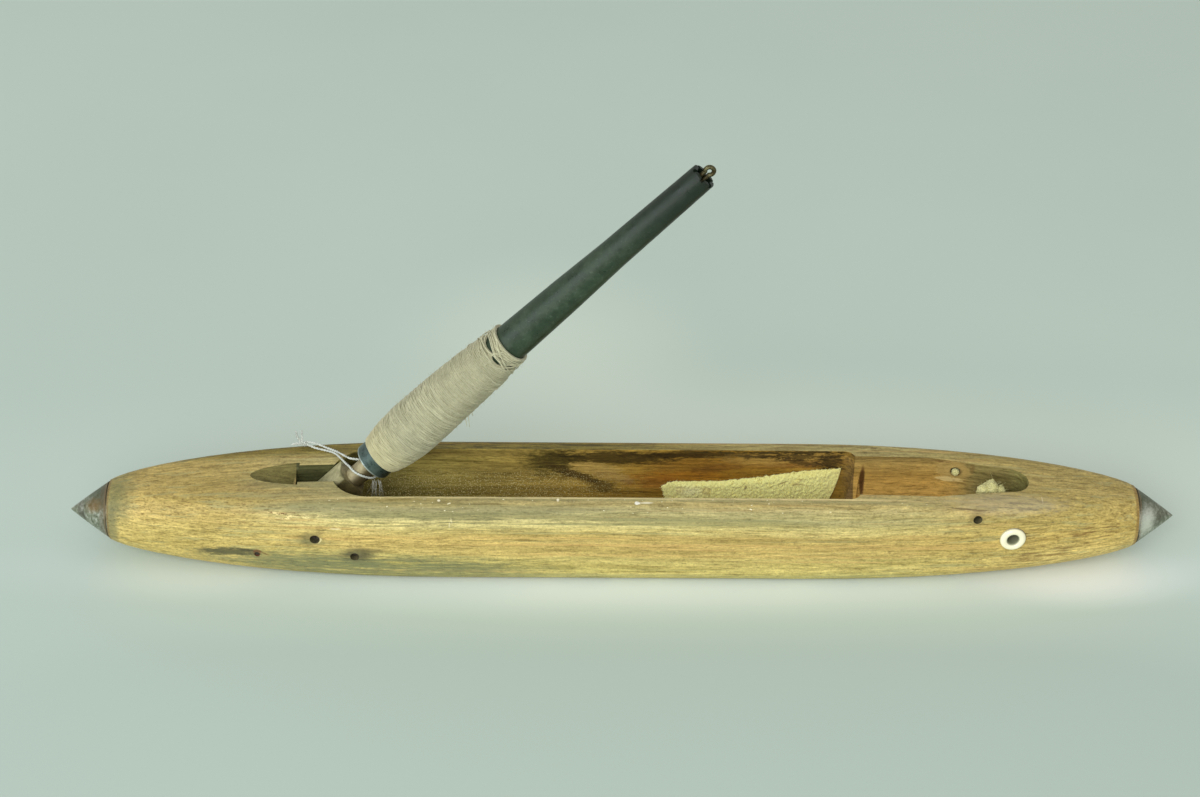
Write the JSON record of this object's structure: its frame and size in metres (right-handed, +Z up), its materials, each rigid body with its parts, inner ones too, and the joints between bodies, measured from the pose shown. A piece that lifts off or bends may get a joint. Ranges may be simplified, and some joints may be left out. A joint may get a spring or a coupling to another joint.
{
  "type": "weaving shuttle",
  "caption": "Flying shuttle for a loom: boat-shaped wooden body with steel points, a long well, a hinged spindle raised with its wound pirn, a side thread eye and fleece strips.",
  "frame": {"origin": "under the middle of the sole, on the surface that the shuttle lies on", "axes": "+X along the shuttle towards the end with the thread eye, +Y across it towards the back wall, +Z up"},
  "size_m": [0.4, 0.0414, 0.1636],
  "materials": {
    "wood_body": "worn pale hardwood, oiled, grain along the shuttle",
    "point_steel": "turned steel, dulled and spotted with rust",
    "pin_steel": "dark iron pins, sunk below the wood",
    "leaf_steel": "thin dark spring steel",
    "heel_iron": "forged iron with a tan patina and rust",
    "hairpin_wire": "bronzed spring wire",
    "pirn_wood": "turned wood, stained dark grey-green",
    "ferrule_metal": "pressed sheet metal, dull blue-grey",
    "yarn": "fine undyed cotton, slightly fuzzy",
    "eye_glaze": "white glaze with small stains",
    "fleece": "cream fleece, short pile",
    "wool": "loose white wool",
    "string": "white twisted cotton string"
  },
  "bodies": {
    "shuttle": {"shuttle_body": "wood_body", "point_left": "point_steel", "point_right": "point_steel", "pivot_pin": "pin_steel", "stop_pin": "pin_steel", "leaf_spring": "leaf_steel", "spring_nail": "pin_steel", "thread_eye": "eye_glaze", "fleece_back": "fleece", "fleece_front": "fleece", "wool_tuft": "wool", "wool_plug": "wool", "tie_string": "string", "tie_knot": "string"},
    "spindle": {"spindle_heel": "heel_iron", "spindle_hairpin": "hairpin_wire"},
    "pirn": {"pirn_tube": "pirn_wood", "pirn_ferrule": "ferrule_metal", "yarn_core": "yarn", "yarn_turns": "yarn"}
  },
  "joints": [
    {"name": "spindle_hinge", "type": "hinge", "parent": "shuttle", "child": "spindle", "pos_m": [-0.1105, 0, 0.0195], "axis": [0, -1, 0], "range_deg": [-46.4, 43.6], "deforming": ["tie_string"]},
    {"name": "pirn_slide", "type": "slide", "parent": "spindle", "child": "pirn", "axis": [0.6896, 0, 0.7242], "range_m": [0, 0.32]}
  ]
}
